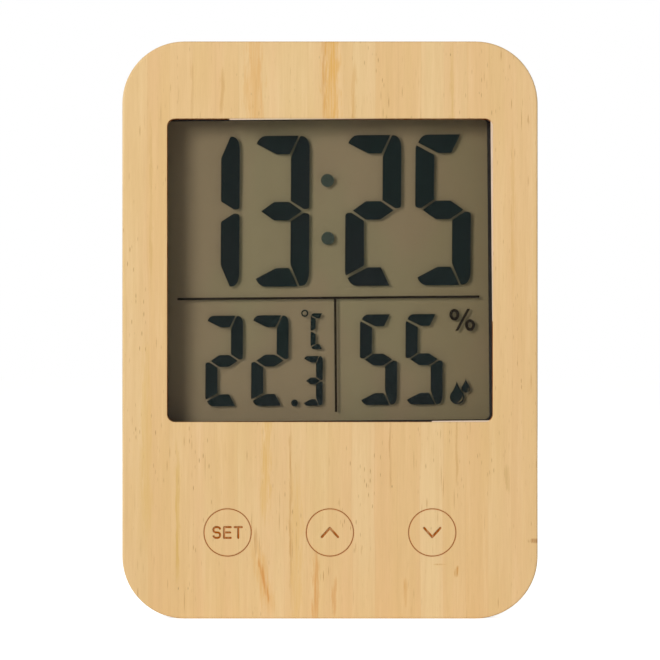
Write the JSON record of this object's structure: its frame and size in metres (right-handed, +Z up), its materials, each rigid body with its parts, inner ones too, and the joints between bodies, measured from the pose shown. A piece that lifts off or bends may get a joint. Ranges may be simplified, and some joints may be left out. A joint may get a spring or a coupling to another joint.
{
  "type": "home weather station",
  "caption": "Small upright tablet with a wood front, a segment display behind a clear lens, round push buttons, a plastic back, a fold-out stand leg and a battery compartment.",
  "frame": {"origin": "bottom centre of the bounding box, on the table", "axes": "+Z up, +X to the right of someone facing the display, front face towards -Y"},
  "size_m": [0.095, 0.0234, 0.132],
  "materials": {
    "bamboo": "fine sanded, clear matt oil",
    "adhesive": "translucent double-sided film",
    "white_plastic": "fine texture",
    "clear_lens": "polished clear acrylic",
    "black_foam": "closed-cell foam",
    "polariser_film": "smooth tinted film",
    "display_glass": "polished",
    "edge_seal": "cured resin",
    "reflector_film": "satin grey reflector",
    "bracket_plastic": "moulded",
    "zinc_screws": "zinc plated",
    "zebra_rubber": "layered conductive silicone",
    "circuit_board": "green solder mask",
    "switch_plastic": "moulded",
    "tinned_leads": "tinned",
    "actuator_plastic": "moulded",
    "plunger_plastic": "moulded",
    "black_resin": "cured epoxy",
    "crystal_can": "drawn can",
    "capacitor_ceramic": "sintered",
    "resistor_ceramic": "coated",
    "sensor_plastic": "moulded",
    "thermistor_bead": "resin dipped",
    "red_insulation": "extruded",
    "black_insulation": "extruded",
    "nickel_contacts": "nickel plated spring steel",
    "cell_jacket": "plain printed jacket"
  },
  "bodies": {
    "case": {"front_panel": "bamboo", "panel_adhesive": "adhesive", "front_housing": "white_plastic", "rear_housing": "white_plastic", "display_lens": "clear_lens", "display_gasket": "black_foam", "front_polariser": "polariser_film", "lcd_front_glass": "display_glass", "lcd_rear_glass": "display_glass", "lcd_edge_seal": "edge_seal", "rear_reflector": "reflector_film", "display_bracket": "bracket_plastic", "bracket_screws": "zinc_screws", "board_screws": "zinc_screws", "housing_screws": "zinc_screws", "zebra_strip": "zebra_rubber", "main_board": "circuit_board", "set_switch_body": "switch_plastic", "up_switch_body": "switch_plastic", "down_switch_body": "switch_plastic", "switch_terminals": "tinned_leads", "controller_blob": "black_resin", "clock_crystal": "crystal_can", "chip_capacitors": "capacitor_ceramic", "chip_resistors": "resistor_ceramic", "humidity_sensor": "sensor_plastic", "thermistor": "thermistor_bead", "red_lead": "red_insulation", "black_lead": "black_insulation", "positive_contact": "nickel_contacts", "negative_contact": "nickel_contacts", "bridge_contact": "nickel_contacts", "aaa_cell_upper": "cell_jacket", "aaa_cell_lower": "cell_jacket"},
    "set_button": {"set_button_cap": "bamboo", "set_button_plunger": "plunger_plastic", "set_switch_actuator": "actuator_plastic"},
    "up_button": {"up_button_cap": "bamboo", "up_button_plunger": "plunger_plastic", "up_switch_actuator": "actuator_plastic"},
    "down_button": {"down_button_cap": "bamboo", "down_button_plunger": "plunger_plastic", "down_switch_actuator": "actuator_plastic"},
    "stand": {"stand_leg": "white_plastic"},
    "cover": {"battery_cover": "white_plastic"}
  },
  "joints": [
    {"name": "set_press", "type": "slide", "parent": "case", "child": "set_button", "axis": [0, 1, 0], "range_m": [0, 0.0003], "stiffness_N_per_m": 2000, "springref_m": -0.0005},
    {"name": "up_press", "type": "slide", "parent": "case", "child": "up_button", "axis": [0, 1, 0], "range_m": [0, 0.0003], "stiffness_N_per_m": 2000, "springref_m": -0.0005},
    {"name": "down_press", "type": "slide", "parent": "case", "child": "down_button", "axis": [0, 1, 0], "range_m": [0, 0.0003], "stiffness_N_per_m": 2000, "springref_m": -0.0005},
    {"name": "stand_hinge", "type": "hinge", "parent": "case", "child": "stand", "pos_m": [0, 0.0101, 0.064], "axis": [1, 0, 0], "range_deg": [0, 30]},
    {"name": "cover_hinge", "type": "hinge", "parent": "case", "child": "cover", "pos_m": [0, 0.01175, 0.0821], "axis": [-1, 0, 0], "range_deg": [0, 55]}
  ]
}
